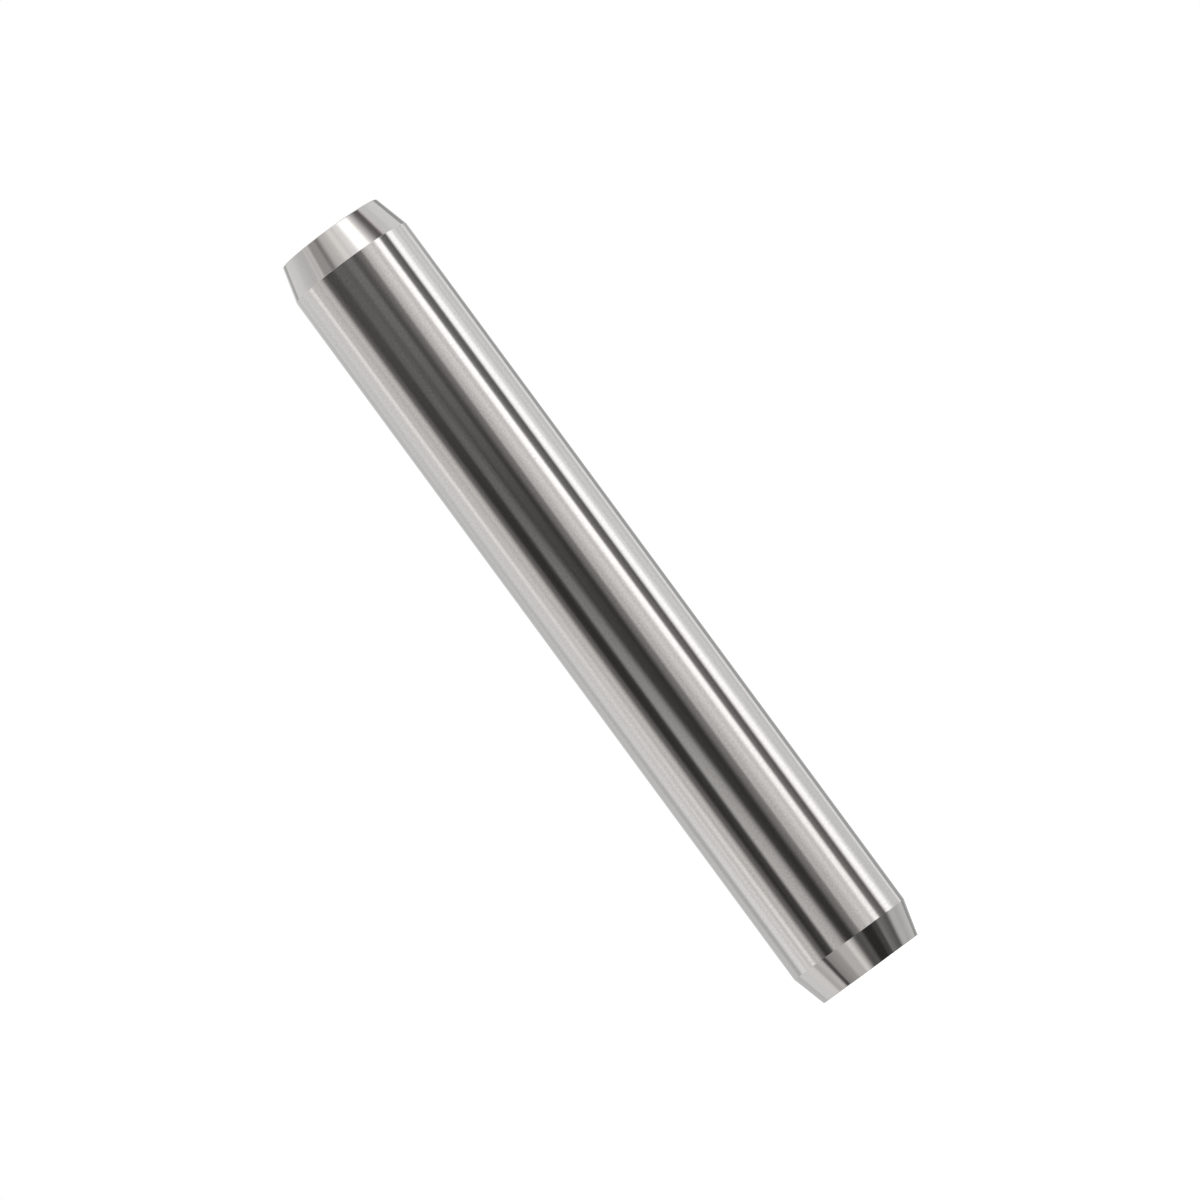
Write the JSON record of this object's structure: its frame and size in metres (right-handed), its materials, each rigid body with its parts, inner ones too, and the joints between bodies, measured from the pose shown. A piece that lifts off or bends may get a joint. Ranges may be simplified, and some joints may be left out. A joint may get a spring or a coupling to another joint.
{
  "type": "slotted spring pin",
  "caption": "Slotted spring pin: strip steel rolled into an open tube with tapered ends, driven into a smaller hole, where its wall springs out and holds.",
  "frame": {"origin": "on the pin's axis, in the plane of its lower end face", "axes": "+Z along the pin to its upper end, +Y out through the middle of the slot, +X to the right seen from the side away from the slot"},
  "size_m": [0.0066, 0.0063, 0.045],
  "materials": {
    "spring_steel": "bright drawn stainless spring steel, near mirror, with fine lines along its length"
  },
  "bodies": {
    "root": {"spring_pin": "spring_steel"}
  },
  "joints": []
}
